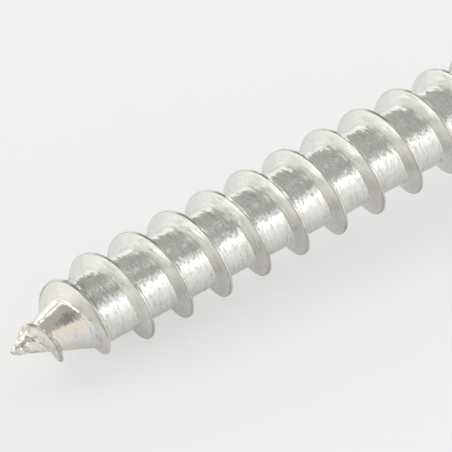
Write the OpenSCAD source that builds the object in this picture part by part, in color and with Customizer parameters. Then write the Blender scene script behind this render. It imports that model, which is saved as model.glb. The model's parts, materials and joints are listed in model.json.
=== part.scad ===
// Slotted round head wood screw, lying on a flat surface as it comes to rest:
// on the rim of its head and on the first full crest of its thread.
// The screw is drawn along +X, from its point towards its head, then tipped into that place.

/* [Shank] */
// Length from the point to the flat underside of the head
screw_l = 40; // [32:1:70]
// Diameter of the plain shank
shank_d = 4; // [3.4:0.1:4.6]

/* [Head] */
// Diameter of the head at its flat underside
head_d = 8; // [6.6:0.1:10]
// Height of the dome over the underside
head_h = 2.8; // [2:0.1:3.2]
// Radius of the fillet where the shank meets the head
neck_r = 0.3; // [0.1:0.05:0.6]
// Width of the driver slot
slot_w = 1; // [0.6:0.1:1.6]
// Depth of the driver slot below the top of the dome
slot_depth = 1.7; // [1:0.1:1.9]
// Turn of the driver slot about the axis
slot_turn = 25; // [0:5:175]

/* [Thread] */
// Length of the threaded part, with its point
thread_l = 24; // [16:1:28]
// Diameter over the crests
crest_d = 3.9; // [3.4:0.05:4.4]
// Diameter of the core between the ridges
core_d = 2.75; // [2.2:0.05:3.1]
// Distance between neighbouring crests
pitch = 1.8; // [1.4:0.05:2.2]
// Width of the land along the crest
land_w = 0.14; // [0.08:0.01:0.24]
// Angle between the two flanks of the ridge
flank_angle = 44; // [30:1:60]
// Width of the hollow blend at the foot of each flank
foot_blend = 0.14; // [0.06:0.01:0.2]
// Length over which the groove runs out into the shank
runout_l = 2.7; // [1:0.1:4]
// Turn of the thread about the axis
thread_turn = 80; // [0:5:355]

/* [Point] */
// Length of the tapered core
point_l = 3.3; // [2.6:0.1:5]
// Fullness of the taper: 1 is a straight cone
point_fullness = 1; // [1:0.05:2]
// Diameter of the blunt tip
tip_d = 0.2; // [0.1:0.02:0.4]
// Length of the rounding at the tip
tip_round = 0.12; // [0.08:0.01:0.2]
// Diameter over the shallow lead turn of the ridge
lead_d = 2.34; // [2.1:0.02:2.6]
// Distance from the tip to the start of the lead turn
lead_from = 0.3; // [0.2:0.05:1]
// Length over which the lead turn rises out of the core
lead_rise = 1.1; // [0.3:0.05:1.3]
// Distance from the tip at which the ridge leaves its lead height
grow_from = 1.95; // [1.6:0.05:2.2]
// Distance from the tip at which the first, unfinished turn has its height
first_from = 2.75; // [2.4:0.05:3]
// Diameter over the first turn
first_d = 3.38; // [2.9:0.02:3.6]
// Distance from the tip at which the ridge grows on from the first turn
finish_from = 3.2; // [3:0.05:3.6]
// Distance from the tip at which the ridge is full
full_from = 4.4; // [3.8:0.05:4.8]

/* [Hidden] */

// Facets in one turn of the thread, and arc facets of the turned shapes
turn_steps = 36;
round_steps = 96;

shank_r = shank_d / 2;
head_r = head_d / 2;
crest_r = crest_d / 2;
core_r = core_d / 2;
tip_r = tip_d / 2;
lead_r = lead_d / 2;
first_r = first_d / 2;

// Ball that the dome is cut from
dome_r = (head_r * head_r + head_h * head_h) / (2 * head_h);
dome_u = screw_l + head_h - dome_r;
// How far a cut or a buried end reaches past the face it meets
past = 0.5;

// The groove ends this far under the shank's surface, inside the shank
runout_sink = 0.06;
runout_r = shank_r - runout_sink;
runout_from = thread_l - runout_l;
buried_turns = 1.25;
rows = ceil(turn_steps * (thread_l / pitch + buried_turns + 0.5));

// Section across one pitch, from the middle of a root to the next:
// side of the crest, share of the ridge's height, share of the flank's run, share of the foot blend
section = [
    [-1, 0.00, 1.00, 1.00],
    [-1, 0.14, 0.86, 0.25],
    [-1, 1.00, 0.00, 0.00],
    [1, 1.00, 0.00, 0.00],
    [1, 0.14, 0.86, 0.25],
    [1, 0.00, 1.00, 1.00]
];
columns = len(section) + 1;

// First full crest that passes under the screw, and the tilt that rests on it and on the head's rim
under_turn = (270 - thread_turn) / 360;
rest_turn = under_turn + ceil(full_from / pitch + 0.5 - under_turn);
rest_u = pitch * (rest_turn - 0.5);
tilt = atan((head_r - crest_r) / (screw_l - rest_u));
tip_z = head_r * cos(tilt) - screw_l * sin(tilt);
lying_l = dome_u * cos(tilt) + dome_r;

// Smooth step from 0 to 1
function ease(x) = x <= 0 ? 0 : x >= 1 ? 1 : x * x * (3 - 2 * x);

// Keeps the first turn of the helix on the near side of the blunt tip
function from_tip(u) = (u + sqrt(u * u + 4 * tip_round * tip_round)) / 2;

// Radius of the core, which tapers to the tip and rises into the shank
function taper(u) = pow(1 - min(u / point_l, 1), point_fullness);
function core_at(u) =
    let (r = core_r - (core_r - tip_r) * taper(from_tip(u)))
    r + (runout_r - r) * ease((u - runout_from) / runout_l);

// Height of the ridge over the core: a shallow lead turn, the first turn, the full thread, then the run-out
function ridge_at(u) =
    let (
        core = core_at(u),
        lead = core + (lead_r - core) * ease((u - lead_from) / lead_rise),
        first = lead + (first_r - lead) * ease((u - grow_from) / (first_from - grow_from)),
        full = first + (crest_r - first) * ease((u - finish_from) / (full_from - finish_from)),
        top = full + (runout_r - full) * ease((u - runout_from) / runout_l)
    )
    max(top - core, 0);

// Point of the thread's surface at one step along the helix and one column of the section
function helix_u(row) = pitch * (row / turn_steps - 0.5);
function on_ring(u, r, row) =
    let (a = 360 * row / turn_steps + thread_turn)
    [from_tip(u), r * cos(a), r * sin(a)];
function root_point(row) =
    let (u = helix_u(row) - pitch / 2)
    on_ring(u, core_at(u), row);
function ridge_point(row, s) =
    let (
        height = ridge_at(helix_u(row)),
        land = land_w * pow(min(height / (crest_r - core_r), 1), 2),
        run = height * tan(flank_angle / 2),
        u = helix_u(row) + s[0] * (land / 2 + run * s[2] + foot_blend * s[3])
    )
    on_ring(u, core_at(u) + height * s[1], row);

// Index of a point: past its last column a row goes on as the row one turn further
function at(row, col) = col < columns ? row * columns + col : (row + turn_steps) * columns;

// Fan of triangles from one point round a closed loop
function fan(tip, loop) = [for (k = [0 : len(loop) - 1]) [tip, loop[k], loop[(k + 1) % len(loop)]]];

// Core, ridge and point of the thread, with its far end buried in the shank
module thread() {
    points = [
        for (row = [0 : rows])
            each concat([root_point(row)], [for (s = section) ridge_point(row, s)])
    ];
    tip = len(points);
    end = tip + 1;
    walls = [
        for (row = [0 : rows - 1], col = [0 : columns - 1])
            if (col < columns - 1 || row + 1 + turn_steps <= rows)
                each [
                    [at(row, col), at(row, col + 1), at(row + 1, col)],
                    [at(row + 1, col), at(row, col + 1), at(row + 1, col + 1)]
                ]
    ];
    tip_loop = concat(
        [for (row = [0 : turn_steps - 1]) at(row, 0)],
        [for (col = [columns : -1 : 1]) at(0, col)]
    );
    end_loop = concat(
        [for (col = [0 : columns - 1]) at(rows, col)],
        [for (row = [rows - 1 : -1 : rows - turn_steps]) at(row, columns - 1)]
    );
    polyhedron(
        concat(points, [[0, 0, 0], [from_tip(helix_u(rows)), 0, 0]]),
        concat(walls, fan(tip, tip_loop), fan(end, end_loop))
    );
}

// Half outline of the head and the shank, with the axis along y
module turned_outline() {
    intersection() {
        translate([0, dome_u])
            circle(dome_r, $fn = round_steps);
        translate([0, screw_l])
            square([head_d, head_d]);
    }
    translate([0, thread_l])
        square([shank_r, screw_l - thread_l + past]);
    translate([0, screw_l - neck_r])
        difference() {
            square([shank_r + neck_r, neck_r + past]);
            translate([shank_r + neck_r, 0])
                circle(neck_r, $fn = round_steps);
        }
}

// Turned head and shank, with the slot cut across the dome
module head_and_shank() {
    difference() {
        rotate([90, 0, 90])
            rotate_extrude($fn = round_steps)
                turned_outline();
        translate([screw_l + head_h - slot_depth, 0, 0])
            rotate([slot_turn, 0, 0])
                translate([0, -head_d / 2 - past, -slot_w / 2])
                    cube([slot_depth + past, head_d + 2 * past, slot_w]);
    }
}

// The whole screw, one piece of plated steel
module screw() {
    color("silver")
        translate([-lying_l / 2, 0, tip_z])
            rotate([0, -tilt, 0]) {
                head_and_shank();
                thread();
            }
}

screw();
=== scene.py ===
import json
import math

import bmesh
import bpy
from mathutils import Matrix, Vector


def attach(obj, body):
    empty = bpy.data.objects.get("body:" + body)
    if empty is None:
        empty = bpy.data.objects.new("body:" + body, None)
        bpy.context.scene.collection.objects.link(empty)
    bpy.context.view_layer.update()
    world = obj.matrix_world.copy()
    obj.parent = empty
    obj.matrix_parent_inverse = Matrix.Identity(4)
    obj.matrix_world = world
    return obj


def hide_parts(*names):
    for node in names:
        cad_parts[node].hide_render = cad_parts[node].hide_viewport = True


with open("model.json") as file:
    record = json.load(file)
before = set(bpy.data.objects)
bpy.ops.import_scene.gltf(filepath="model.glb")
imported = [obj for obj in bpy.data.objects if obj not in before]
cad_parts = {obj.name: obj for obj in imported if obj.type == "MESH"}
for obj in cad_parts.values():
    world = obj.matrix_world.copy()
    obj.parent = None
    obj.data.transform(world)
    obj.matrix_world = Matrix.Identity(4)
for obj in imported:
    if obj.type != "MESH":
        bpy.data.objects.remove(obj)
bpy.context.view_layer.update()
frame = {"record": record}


# Thread and point of the screw, plated steel, cut from the same wire as the shank.
# A flat grid is wound into a helix: its rows go along the thread and its columns across one pitch.
# The last column of a turn lies on the first column of the next turn, and the two are merged.

class Flow:
    """A value in a node tree. Arithmetic on it adds Math nodes to that tree."""

    def __init__(self, tree, socket):
        self.tree = tree
        self.socket = socket

    def node(self, kind, settings, sockets, output=0):
        made = self.tree.nodes.new(kind)
        for name, setting in settings.items():
            setattr(made, name, setting)
        for name, value in sockets.items():
            if isinstance(value, Flow):
                self.tree.links.new(value.socket, made.inputs[name])
            else:
                made.inputs[name].default_value = value
        return Flow(self.tree, made.outputs[output])

    def math(self, operation, *values):
        return self.node("ShaderNodeMath", {"operation": operation}, dict(enumerate(values)))

    def ease(self, low, high):
        """Smooth step from 0 at low to 1 at high."""
        settings = {"interpolation_type": "SMOOTHSTEP"}
        return self.node("ShaderNodeMapRange", settings, {"Value": self, "From Min": low, "From Max": high})

    def band(self, start, full, fading, end):
        """Smooth step up from start to full, and down again from fading to end."""
        return self.ease(start, full) * (1.0 - self.ease(fading, end))

    def blend(self, first, second):
        """Colour between two others, with this value as the second one's share."""
        settings = {"data_type": "RGBA", "blend_type": "MIX"}
        return self.node("ShaderNodeMix", settings, {"Factor": self, 6: first, 7: second}, 2)

    def __add__(self, other):
        return self.math("ADD", self, other)

    def __radd__(self, other):
        return self.math("ADD", other, self)

    def __sub__(self, other):
        return self.math("SUBTRACT", self, other)

    def __rsub__(self, other):
        return self.math("SUBTRACT", other, self)

    def __mul__(self, other):
        return self.math("MULTIPLY", self, other)

    def __rmul__(self, other):
        return self.math("MULTIPLY", other, self)

    def __truediv__(self, other):
        return self.math("DIVIDE", self, other)

    def __rtruediv__(self, other):
        return self.math("DIVIDE", other, self)

    def __pow__(self, other):
        return self.math("POWER", self, other)

    def __abs__(self):
        return self.math("ABSOLUTE", self)


steel = bpy.data.materials.new("bright zinc plated steel")

# Lengths are in millimetres, and places along the screw are measured from its tip
flank_angle = math.radians(44)
thread_tree = bpy.data.node_groups.new("Wound thread", "GeometryNodeTree")
thread_sizes = {
    "Pitch": 1.8,
    "Crest radius": 1.95,
    "Core radius": 1.375,
    "Shank radius": 2.0,
    "Land width": 0.11,
    "Flank slope": math.tan(flank_angle / 2),
    "Crest rounding": 0.08,
    "Foot rounding": 0.12,
    "Threaded length": 24.0,
    "Run-out length": 2.7,
    "Wound length": 25.0,
    "Point length": 3.3,
    "Point fullness": 1.0,
    "Tip radius": 0.1,
    "Nose length": 0.12,
    "Lead radius": 1.17,
    "Lead start": 0.38,
    "Lead rise": 1.05,
    "Growth start": 1.95,
    "First turn start": 2.75,
    "First turn radius": 1.69,
    "First turn burr": 0.12,
    "First burr start": 2.5,
    "First burr top": 2.8,
    "First burr fading": 2.85,
    "First burr end": 3.3,
    "Finish start": 3.2,
    "Full thread start": 4.4,
    "Fold height": 0.2,
    "Folds in a millimetre": 4.4,
    "Fold seed": 4.2,
    "Fold rise": 0.25,
    "Fold fading": 0.7,
    "Fold end": 1.9,
    "Turn": math.radians(80),
    "Turns": 15.0,
    "Steps in a turn": 108.0,
    "Columns": 49.0,
}
thread_tree.interface.new_socket("Screw", in_out="OUTPUT", socket_type="NodeSocketGeometry")
thread_inlets = {
    name: thread_tree.interface.new_socket(name, in_out="INPUT", socket_type="NodeSocketFloat")
    for name in thread_sizes
}
inlet_node = thread_tree.nodes.new("NodeGroupInput")
inlet = {name: Flow(thread_tree, inlet_node.outputs[name]) for name in thread_sizes}

# Any value of a tree can add nodes to it, and this one stands for the tree
wind = inlet["Turn"]
pitch = inlet["Pitch"]

sheet = wind.node("GeometryNodeMeshGrid", {}, {
    "Size X": inlet["Turns"],
    "Size Y": 1.0,
    "Vertices X": inlet["Turns"] * inlet["Steps in a turn"] + 1.0,
    "Vertices Y": inlet["Columns"],
})
flat_place = wind.node("GeometryNodeInputPosition", {}, {})
along = wind.node("ShaderNodeSeparateXYZ", {}, {"Vector": flat_place}, "X") + inlet["Turns"] / 2.0
across = wind.node("ShaderNodeSeparateXYZ", {}, {"Vector": flat_place}, "Y")

# Columns crowd together on the ridge, and spread over the root
crowding = 0.7
offset = pitch * (across - crowding / math.tau * wind.math("SINE", across * math.tau))
crest_distance = pitch * (along - 0.5)
distance = wind.math("MINIMUM", wind.math("MAXIMUM", crest_distance + offset, 0.0), inlet["Wound length"])


def run_out(radius, at):
    groove_end = inlet["Threaded length"]
    share = at.ease(groove_end - inlet["Run-out length"], groove_end)
    return radius + (inlet["Shank radius"] - radius) * share


def core_radius(at):
    left = wind.math("MAXIMUM", 1.0 - at / inlet["Point length"], 0.0)
    taper = (inlet["Core radius"] - inlet["Tip radius"]) * left ** inlet["Point fullness"]
    return run_out(inlet["Core radius"] - taper, at)


def ridge_height(at):
    core = core_radius(at)
    lead_share = at.ease(inlet["Lead start"], inlet["Lead start"] + inlet["Lead rise"])
    lead = core + (inlet["Lead radius"] - core) * lead_share
    first_share = at.ease(inlet["Growth start"], inlet["First turn start"])
    first = lead + (inlet["First turn radius"] - lead) * first_share
    burr_places = [inlet["First burr " + place] for place in ("start", "top", "fading", "end")]
    first = first + inlet["First turn burr"] * at.band(*burr_places)
    full_share = at.ease(inlet["Finish start"], inlet["Full thread start"])
    full = first + (inlet["Crest radius"] - first) * full_share
    return wind.math("MAXIMUM", run_out(full, at) - core, 0.0)


height = ridge_height(wind.math("MAXIMUM", crest_distance, 0.0))
formed = wind.math("MINIMUM", height / (inlet["Crest radius"] - inlet["Core radius"]), 1.0)
beside = abs(offset) - inlet["Land width"] / 2.0 * formed * formed
flank = height - beside / inlet["Flank slope"]
least_rounding = 0.0001
ridge = wind.math("SMOOTH_MIN", height, flank, height * inlet["Crest rounding"] + least_rounding)
ridge = wind.math("SMOOTH_MAX", ridge, 0.0, height * inlet["Foot rounding"] + least_rounding)
nose = wind.math("MINIMUM", distance / inlet["Nose length"], 1.0)
nose = wind.math("SQRT", nose * (2.0 - nose))
radius = (core_radius(distance) + ridge) * nose
angle = along * math.tau + inlet["Turn"]


def on_ring(ring_radius):
    return wind.node("ShaderNodeCombineXYZ", {}, {
        "X": distance,
        "Y": ring_radius * wind.math("COSINE", angle),
        "Z": ring_radius * wind.math("SINE", angle),
    })


# The cut that parts the wire leaves the tip and the start of the lead turn uneven
uneven = wind.node("ShaderNodeTexNoise", {"noise_dimensions": "4D"}, {
    "Vector": on_ring(radius),
    "W": inlet["Fold seed"],
    "Scale": inlet["Folds in a millimetre"],
    "Detail": 1.5,
}) - 0.5
near_tip = 1.0 - distance.ease(inlet["Fold fading"], inlet["Fold end"])
fold_step = inlet["Fold height"] * uneven * near_tip * distance.ease(0.0, inlet["Fold rise"])
# The fold depth is kept for the painted shade in the dips of the point's folds
stored_for_paint = {
    "ridge": ridge,
    "behind_crest": offset * formed,
    "fold": (0.0 - uneven) * near_tip,
}
for name, value in stored_for_paint.items():
    settings = {"data_type": "FLOAT", "domain": "POINT"}
    sockets = {"Geometry": sheet, "Name": name, "Value": value}
    sheet = wind.node("GeometryNodeStoreNamedAttribute", settings, sockets)
sheet = wind.node("GeometryNodeSetPosition", {}, {"Geometry": sheet, "Position": on_ring(radius + fold_step)})
turn_gap = 0.0002
sheet = wind.node("GeometryNodeMergeByDistance", {}, {"Geometry": sheet, "Distance": turn_gap})
sheet = wind.node("GeometryNodeRealizeInstances", {}, {"Geometry": sheet})
sheet = wind.node("GeometryNodeSetMaterial", {}, {"Geometry": sheet, "Material": steel})
outlet = thread_tree.nodes.new("NodeGroupOutput")
thread_tree.links.new(sheet.socket, outlet.inputs["Screw"])

thread_base = bpy.data.objects.new("thread base", bpy.data.meshes.new("thread base"))
bpy.context.scene.collection.objects.link(thread_base)
winding = thread_base.modifiers.new("Wound thread", "NODES")
winding.node_group = thread_tree
for name, socket in thread_inlets.items():
    winding[socket.identifier] = thread_sizes[name]
bpy.context.view_layer.update()
wound = thread_base.evaluated_get(bpy.context.evaluated_depsgraph_get())
screw_mesh = bpy.data.meshes.new_from_object(wound)
bpy.data.objects.remove(thread_base)


# Shank and round head, turned on from the end of the thread's wire in the same plated steel.
# One outline is spun about the axis: shank, neck fillet, flat underside, rounded rim and dome.
# The driver slot is cut across the dome, with its edges broken where they meet the ball.

screw_l = 40.0
neck_r = 0.3
head_r = 4.0
head_h = 2.8
rim_r = 0.12
shank_r = thread_sizes["Shank radius"]
shank_from = thread_sizes["Wound length"]
dome_r = (head_r ** 2 + head_h ** 2) / (2 * head_h)
dome_centre = screw_l + head_h - dome_r
rim_turn = math.asin((screw_l + rim_r - dome_centre) / (dome_r - rim_r))
rim_centre_r = (dome_r - rim_r) * math.cos(rim_turn)


def between(first, last, count):
    return [first + (last - first) * i / count for i in range(count + 1)]


# Points are (millimetres from the tip, radius)
shank_parts, arc_parts, underside_parts, dome_parts = 12, 8, 5, 28
outline = [(at_length, shank_r) for at_length in between(shank_from, screw_l - neck_r, shank_parts)]
for turn in between(0, math.pi / 2, arc_parts)[1:]:
    outline.append((screw_l - neck_r + neck_r * math.sin(turn), shank_r + neck_r * (1 - math.cos(turn))))
for at_radius in between(shank_r + neck_r, rim_centre_r, underside_parts)[1:-1]:
    outline.append((screw_l, at_radius))
for turn in between(-math.pi / 2, rim_turn, arc_parts):
    outline.append((screw_l + rim_r + rim_r * math.sin(turn), rim_centre_r + rim_r * math.cos(turn)))
for turn in between(rim_turn, math.pi / 2, dome_parts)[1:-1]:
    outline.append((dome_centre + dome_r * math.sin(turn), dome_r * math.cos(turn)))

spun = bmesh.new()
spun.from_mesh(screw_mesh)
steps = int(thread_sizes["Steps in a turn"])
turns = [math.tau * k / steps for k in range(steps)]
hoops = []
for at_length, at_radius in outline:
    ring = [(at_length, at_radius * math.cos(turn), at_radius * math.sin(turn)) for turn in turns]
    hoops.append([spun.verts.new(place) for place in ring])
apex = spun.verts.new((screw_l + head_h, 0, 0))
for lower, upper in zip(hoops, hoops[1:]):
    for k in range(steps):
        spun.faces.new((lower[k], lower[(k + 1) % steps], upper[(k + 1) % steps], upper[k]))
for k in range(steps):
    spun.faces.new((hoops[-1][k], hoops[-1][(k + 1) % steps], apex))
seam_gap = 0.0003
bmesh.ops.remove_doubles(spun, verts=spun.verts, dist=seam_gap)
bmesh.ops.recalc_face_normals(spun, faces=spun.faces)
spun.to_mesh(screw_mesh)
spun.free()

slot_w = 1.0
slot_depth = 1.7
slot_turn = math.radians(25)
slot_break = 0.05
slot_reach = 4.6
slot_flare = 2.0
slot_parts = 60
least_wall = 0.01
slot_bottom = screw_l + head_h - slot_depth
wall_r = math.sqrt(dome_r ** 2 - slot_w ** 2 / 4)
cutter = bmesh.new()
sections = []
for across_head in between(-slot_reach, slot_reach, slot_parts):
    ball_at = dome_centre + math.sqrt(max(wall_r ** 2 - across_head ** 2, 0))
    shoulder = max(ball_at - slot_break, slot_bottom + least_wall)
    half_section = [
        (slot_bottom, slot_w / 2),
        (shoulder, slot_w / 2),
        (shoulder + slot_flare, slot_w / 2 + slot_flare),
    ]
    section = half_section + [(at_length, -side) for at_length, side in reversed(half_section)]
    sections.append([cutter.verts.new((at_length, across_head, side)) for at_length, side in section])
for before, after in zip(sections, sections[1:]):
    for k in range(len(before)):
        n = (k + 1) % len(before)
        cutter.faces.new((before[k], before[n], after[n], after[k]))
cutter.faces.new(sections[0])
cutter.faces.new(sections[-1])
bmesh.ops.recalc_face_normals(cutter, faces=cutter.faces)
cutter.transform(Matrix.Rotation(slot_turn, 4, "X"))
slot_mesh = bpy.data.meshes.new("slot cutter")
cutter.to_mesh(slot_mesh)
cutter.free()

screw = bpy.data.objects.new("screw_body", screw_mesh)
slot_cutter = bpy.data.objects.new("slot cutter", slot_mesh)
for made in (screw, slot_cutter):
    bpy.context.scene.collection.objects.link(made)
cut = screw.modifiers.new("slot", "BOOLEAN")
cut.operation = "DIFFERENCE"
cut.solver = "EXACT"
cut.object = slot_cutter
bpy.context.view_layer.update()
slotted = screw.evaluated_get(bpy.context.evaluated_depsgraph_get())
screw.data = bpy.data.meshes.new_from_object(slotted)
screw.modifiers.clear()
bpy.data.objects.remove(slot_cutter)

# The screw lies where the record's mount in the bottom of the slot says
mount = next(m for m in frame["record"]["mounts"] if m["name"] == "driver_slot")
millimetre = 0.001
axis = Vector(mount["axis"])
tip = Vector(mount["pos_m"]) - axis * slot_bottom * millimetre
tilt = math.atan2(axis.z, axis.x)
lie = Matrix.Translation(tip) @ Matrix.Rotation(-tilt, 4, "Y") @ Matrix.Scale(millimetre, 4)
screw.data.transform(lie)
screw.data.materials.clear()
screw.data.materials.append(steel)
screw.data.polygons.foreach_set("use_smooth", [True] * len(screw.data.polygons))
sharp_from = math.radians(40)
screw.data.set_sharp_from_angle(angle=sharp_from)
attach(screw, "root")
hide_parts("screw")


# Plated steel: bright zinc over steel, glossy in the roots and satin on the flanks.
# Cutting streaks follow the helix in the roots, ring marks lie on the flanks, and the crest's edges carry
# painted shade and dark reflections.
# The point carries a painted warm reflection, painted shade in its folds and a painted dark reflection;
# painted shade also lies under the screw, on its far side, in the corner behind the first turn and in the
# slot. Patterns lie in the screw's own axes, in millimetres.

steel.use_nodes = True
steel.node_tree.nodes.clear()
finish = steel.node_tree.nodes.new("ShaderNodeOutputMaterial")
metal = steel.node_tree.nodes.new("ShaderNodeBsdfPrincipled")
steel.node_tree.links.new(metal.outputs["BSDF"], finish.inputs["Surface"])
metal.inputs["Metallic"].default_value = 1.0


def shade(name, value):
    steel.node_tree.links.new(value.socket, metal.inputs[name])


place = steel.node_tree.nodes.new("ShaderNodeTexCoord")
paint = Flow(steel.node_tree, place.outputs["Object"])
normal = Flow(steel.node_tree, place.outputs["Normal"])
own_place = paint.node("ShaderNodeMapping", {"vector_type": "POINT"}, {
    "Vector": paint,
    "Location": lie.inverted().translation,
    "Rotation": (0, tilt, 0),
    "Scale": (1 / millimetre, 1 / millimetre, 1 / millimetre),
})
from_tip = paint.node("ShaderNodeSeparateXYZ", {}, {"Vector": own_place}, "X")
sideways = paint.node("ShaderNodeSeparateXYZ", {}, {"Vector": own_place}, "Y")
upwards = paint.node("ShaderNodeSeparateXYZ", {}, {"Vector": own_place}, "Z")

# Angle about the axis in radians, from the screw's left side over its top
round_angle = paint.math("ARCTAN2", upwards, sideways)


def stored(name):
    return paint.node("ShaderNodeAttribute", {"attribute_name": name}, {}, "Fac")


ridge_rise = stored("ridge")
behind_crest = stored("behind_crest")
fold = stored("fold")


def noise(where, scale, detail, fourth=None):
    """Noise about zero, with a fourth coordinate where one is given."""
    settings = {"noise_dimensions": "3D"}
    sockets = {"Vector": where, "Scale": scale, "Detail": detail, "Roughness": 0.6}
    if fourth is not None:
        settings["noise_dimensions"] = "4D"
        sockets["W"] = fourth
    return paint.node("ShaderNodeTexNoise", settings, sockets) - 0.5


def vector(operation, first, second=(0, 0, 0)):
    return paint.node("ShaderNodeVectorMath", {"operation": operation}, {0: first, 1: second})


def scaled(way, amount):
    return paint.node("ShaderNodeVectorMath", {"operation": "SCALE"}, {0: way, "Scale": amount})


# Streaks wind with the thread: they are long along the helix and narrow across it
phase = from_tip * (math.tau / thread_sizes["Pitch"]) - round_angle
streak_spread = 1.7
streak_place = paint.node("ShaderNodeCombineXYZ", {}, {
    "X": paint.math("COSINE", phase) * streak_spread,
    "Y": paint.math("SINE", phase) * streak_spread,
})
streaks = noise(streak_place, 1.6, 2.0, from_tip * 5.0)
blotches = noise(vector("MULTIPLY", own_place, (9.0, 4.5, 4.5)), 1.0, 2.5)
flecks = noise(own_place, 9.0, 2.0)
ring_place = paint.node("ShaderNodeCombineXYZ", {}, {
    "X": ridge_rise * 9.0 + from_tip * 0.4,
    "Y": sideways * 1.4,
    "Z": upwards * 1.4,
})
ring_marks = noise(ring_place, 1.0, 2.0)
marks = blotches * 0.7 + streaks * 0.45

on_flank = ridge_rise.ease(0.02, 0.14)
in_root = 1.0 - on_flank
rough_cut = 1.0 - from_tip.ease(0.8, 1.6)
shade("Roughness", 0.2 + 0.1 * on_flank + 0.06 * rough_cut)

# Marks lean the surface about the axis and flecks nod it along the axis, less on the smooth top of the cone
calm = from_tip.band(1.2, 1.5, 2.6, 3.0) * (1.0 - round_angle.ease(1.6, 1.9))
unrest = 1.0 - 0.7 * calm
lean = marks * (1.0 - (0.8 - 0.4 * rough_cut) * on_flank) * unrest
nod = flecks * 0.3 * (in_root + rough_cut) * unrest
nod = nod + (ring_marks * 1.5 + flecks * 0.4) * on_flank
outward = vector("SUBTRACT", paint, tuple(tip))
tangent = vector("NORMALIZE", vector("CROSS_PRODUCT", tuple(axis), outward))
leaned = vector("ADD", normal, scaled(tangent, lean * 0.7))
leaned = vector("ADD", leaned, scaled(tuple(axis), nod))
shade("Normal", vector("NORMALIZE", leaned))

# Painted shade: a duller, darker plate tone under the screw and on the flanks of its far side
underside_shade = (1.0 - upwards.ease(-0.8, 1.2)) * (on_flank + 0.6 * (1.0 - from_tip.ease(2.6, 3.2)))
far_side_shade = round_angle.band(-0.6, 0.2, 0.7, 1.0) * on_flank

# Painted dark reflection on the cone, in a patch with an uneven edge
dark_reflection_turn, dark_reflection_from_tip = 2.2, 2.15
dark_reflection_width, dark_reflection_length = 0.26, 0.42
about_dark_reflection = (round_angle - dark_reflection_turn) / dark_reflection_width
along_dark_reflection = (from_tip - dark_reflection_from_tip) / dark_reflection_length
dark_reflection_away = about_dark_reflection ** 2.0 + along_dark_reflection ** 2.0
painted_dark_reflection = (1.0 - (dark_reflection_away + streaks * 3.5 + blotches).ease(0.1, 1.2)) * in_root

# Painted shade in the corner behind the first turn, and in the slot
corner = from_tip.band(2.95, 3.1, 3.3, 3.65) * in_root
upper_back = round_angle.band(0.3, 0.9, 1.25, 1.8)
from_slot = abs(upwards * math.cos(slot_turn) - sideways * math.sin(slot_turn))
in_slot = 1.0 - from_slot.ease(slot_w / 2, slot_w / 2 + 0.03)
in_slot = in_slot * from_tip.ease(slot_bottom - 0.2, slot_bottom - 0.1)

# Painted shade and dark reflections in thin lines before and behind the land, and on the land on the upper
# side
front_edge = behind_crest.band(-0.08, -0.045, -0.02, 0.005)
front_edge = front_edge * (0.55 + marks) * (0.8 + 0.2 * abs(round_angle).ease(1.2, 1.5))
rear_edge = behind_crest.band(0.022, 0.04, 0.12, 0.2)
upper_land = (1.0 - abs(behind_crest).ease(0.03, 0.06)) * round_angle.band(1.2, 1.5, 1.8, 2.0)
edge = (front_edge + rear_edge * 0.8 + upper_land * 0.4) * ridge_rise.ease(0.3, 0.4)

dull_plate = (0.8, 0.8, 0.76, 1)
bright_plate = (0.99, 0.99, 0.955, 1)
satin_flank = (0.98, 0.98, 0.935, 1)
# Tones of the painted shade under the screw and on its far side
underside_shade_tone = (0.82, 0.795, 0.795, 1)
far_side_shade_tone = (0.8, 0.8, 0.78, 1)
ring_grey = (0.68, 0.68, 0.63, 1)
streak_grey = (0.62, 0.62, 0.595, 1)
# Tone of the painted warm reflection on the point
warm_reflection_tone = (0.93, 0.905, 0.83, 1)
brown_cut = (0.55, 0.48, 0.36, 1)
# Tone of the painted shade in the dips of the point's folds
fold_shade_tone = (0.52, 0.48, 0.37, 1)
# Tone of the painted dark reflection on the cone
dark_reflection_tone = (0.28, 0.27, 0.26, 1)
# Tones of the painted shade in the corner behind the first turn and in the slot
corner_shade_tone = (0.42, 0.41, 0.37, 1)
slot_shade_tone = (0.3, 0.29, 0.26, 1)
# Tone of the painted shade and dark reflections along the crest
crest_shade_tone = (0.26, 0.25, 0.2, 1)
tone = ((lean + 0.25) * 2.0).blend(dull_plate, bright_plate)
ringed = (ring_marks + flecks * 0.6).ease(-0.05, 0.2) * ridge_rise.ease(0.08, 0.24)
streaked = (streaks * 0.9 + blotches * 0.5 + flecks * 0.4).ease(-0.1, 0.3) * in_root
# Share of the painted warm reflection near the point, less on the shaded underside
on_point = (1.0 - from_tip.ease(1.7, 3.0)) * (1.0 - 0.6 * underside_shade)
layers = [
    (on_flank * 0.8, satin_flank),
    (underside_shade * 0.7, underside_shade_tone),
    (far_side_shade * 0.6, far_side_shade_tone),
    (ringed * 0.55, ring_grey),
    (streaked * 0.9, streak_grey),
    (on_point * 0.8, warm_reflection_tone),
    (rough_cut * flecks.ease(0.0, 0.2) * 0.5, brown_cut),
    (fold.ease(0.0, 0.1) * 0.6, fold_shade_tone),
    (painted_dark_reflection * 0.6, dark_reflection_tone),
    (corner * (0.3 + 0.25 * upper_back + marks), corner_shade_tone),
    (in_slot * (0.7 + marks), slot_shade_tone),
    (edge, crest_shade_tone),
]
for share, colour in layers:
    tone = share.blend(tone, colour)
shade("Base Color", tone)


# Floor: the plain white sheet of paper that the screw lies on, with a slight gloss.
# It glows a little for the camera and in the metal, so that it looks white, and it keeps the screw's shadow.

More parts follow.
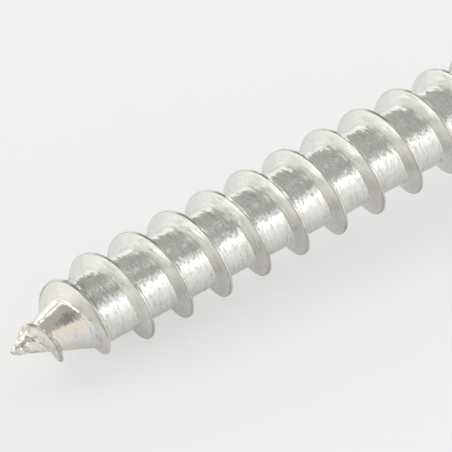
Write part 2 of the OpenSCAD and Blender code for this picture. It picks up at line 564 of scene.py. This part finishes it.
floor_half = 2.0
floor_corners = [(-1, -1), (1, -1), (1, 1), (-1, 1)]
floor_mesh = bpy.data.meshes.new("floor")
floor_mesh.from_pydata([(x * floor_half, y * floor_half, 0) for x, y in floor_corners], [], [(0, 1, 2, 3)])
floor = bpy.data.objects.new("floor", floor_mesh)
bpy.context.scene.collection.objects.link(floor)
paper = bpy.data.materials.new("white paper")
paper.use_nodes = True
paper_sheet = paper.node_tree.nodes["Principled BSDF"]
paper_sheet.inputs["Base Color"].default_value = (0.9, 0.9, 0.91, 1)
paper_sheet.inputs["Roughness"].default_value = 0.3
paper_ray = paper.node_tree.nodes.new("ShaderNodeLightPath")
camera_ray = Flow(paper.node_tree, paper_ray.outputs["Is Camera Ray"])
seen = camera_ray
for other_ray in ("Is Glossy Ray", "Is Transmission Ray"):
    seen = seen.math("MAXIMUM", seen, Flow(paper.node_tree, paper_ray.outputs[other_ray]))
glow_in_metal, more_glow_in_view = 0.15, 0.35
glow = seen * glow_in_metal + camera_ray * more_glow_in_view
lit = Flow(paper.node_tree, paper_sheet.outputs["BSDF"])
white = seen.node("ShaderNodeEmission", {}, {"Color": (1, 1, 1, 1), "Strength": 1.0})
both = seen.node("ShaderNodeMixShader", {}, {"Fac": glow, 1: lit, 2: white})
paper.node_tree.links.new(both.socket, paper.node_tree.nodes["Material Output"].inputs["Surface"])
floor_mesh.materials.append(paper)


# Studio: a room with pale walls, a grey ceiling and one warm corner, which the bright metal mirrors.
# Soft panels stand round it: windows at the right, dimmer ones behind, at the left, in front and above.
# Each panel faces the screw from the same distance, and its level is its brightness against a white of 1.

room = bpy.data.worlds.new("pale room")
bpy.context.scene.world = room
room.use_nodes = True
room_place = room.node_tree.nodes.new("ShaderNodeTexCoord")
sky = Flow(room.node_tree, room_place.outputs["Generated"])
steepness = sky.node("ShaderNodeSeparateXYZ", {}, {"Vector": sky}, "Z")
walls, ceiling, warm = (1.08, 1.08, 1.065, 1), (0.42, 0.42, 0.405, 1), (0.88, 0.8, 0.71, 1)
warm_way = (-0.26, -0.94, 0.2)
warm_near = sky.node("ShaderNodeVectorMath", {"operation": "DOT_PRODUCT"}, {0: sky, 1: warm_way}, "Value")
light = warm_near.ease(0.86, 0.95).blend(steepness.ease(0.18, 0.38).blend(walls, ceiling), warm)
room.node_tree.links.new(light.socket, room.node_tree.nodes["Background"].inputs["Color"])

panel_away = 0.6


def soft_panel(name, turn, rise, width, tall, level, tint=(1, 1, 1)):
    lamp = bpy.data.lights.new(name, "AREA")
    lamp.shape = "RECTANGLE"
    lamp.size = width
    lamp.size_y = tall
    lamp.energy = level * width * tall * math.pi
    lamp.color = tint
    turn, rise = math.radians(turn), math.radians(rise)
    level_part = math.cos(rise)
    way = Vector((level_part * math.cos(turn), level_part * math.sin(turn), math.sin(rise)))
    holder = bpy.data.objects.new(name, lamp)
    bpy.context.scene.collection.objects.link(holder)
    holder.location = way * panel_away
    holder.rotation_euler = way.to_track_quat("Z", "Y").to_euler()


soft_panel("window", 10, 41, 0.42, 0.19, 2.6)
soft_panel("window edge", 340, 41, 0.2, 0.19, 0.85)
soft_panel("side window", 40, 24, 0.2, 0.18, 3.8)
soft_panel("back panel", 100, 24, 0.45, 0.18, 0.8)
soft_panel("high back panel", 130, 42, 0.4, 0.19, 1.6)
soft_panel("left panel", 190, 30, 0.5, 0.24, 1.3)
soft_panel("left strip", 170, 8, 0.4, 0.17, 0.5)
soft_panel("front panel", 287, 24, 0.39, 0.18, 1.05, (0.97, 0.985, 1.0))
soft_panel("front upper panel", 287, 42, 0.28, 0.18, 0.45)
soft_panel("top panel", 0, 85, 0.28, 0.28, 0.33)


# Camera: a long lens that looks down on the point from the front left, as the photograph does.
# Its direction, distance and aim were fitted to the crests of the thread.

picture = bpy.data.cameras.new("camera")
camera = bpy.data.objects.new("camera", picture)
bpy.context.scene.collection.objects.link(camera)
bpy.context.scene.camera = camera
azimuth, elevation = math.radians(-37.732), math.radians(38.208)
away = 0.2526
aim_from_tip, aim_left, aim_up = 0.01011, 0.0001673, 0.0003112
right = Vector((math.cos(azimuth), math.sin(azimuth), 0))
level_back = Vector((math.sin(azimuth), -math.cos(azimuth), 0))
up = Vector((0, 0, math.cos(elevation))) - level_back * math.sin(elevation)
back = right.cross(up)
aim = tip + axis * aim_from_tip - right * aim_left + up * aim_up
camera.location = aim + back * away
camera.rotation_euler = back.to_track_quat("Z", "Y").to_euler()
picture.sensor_width = 36.0
picture.lens = 544.5
picture.clip_start = 0.01
picture.clip_end = 10.0

bpy.context.scene.view_settings.view_transform = "Standard"
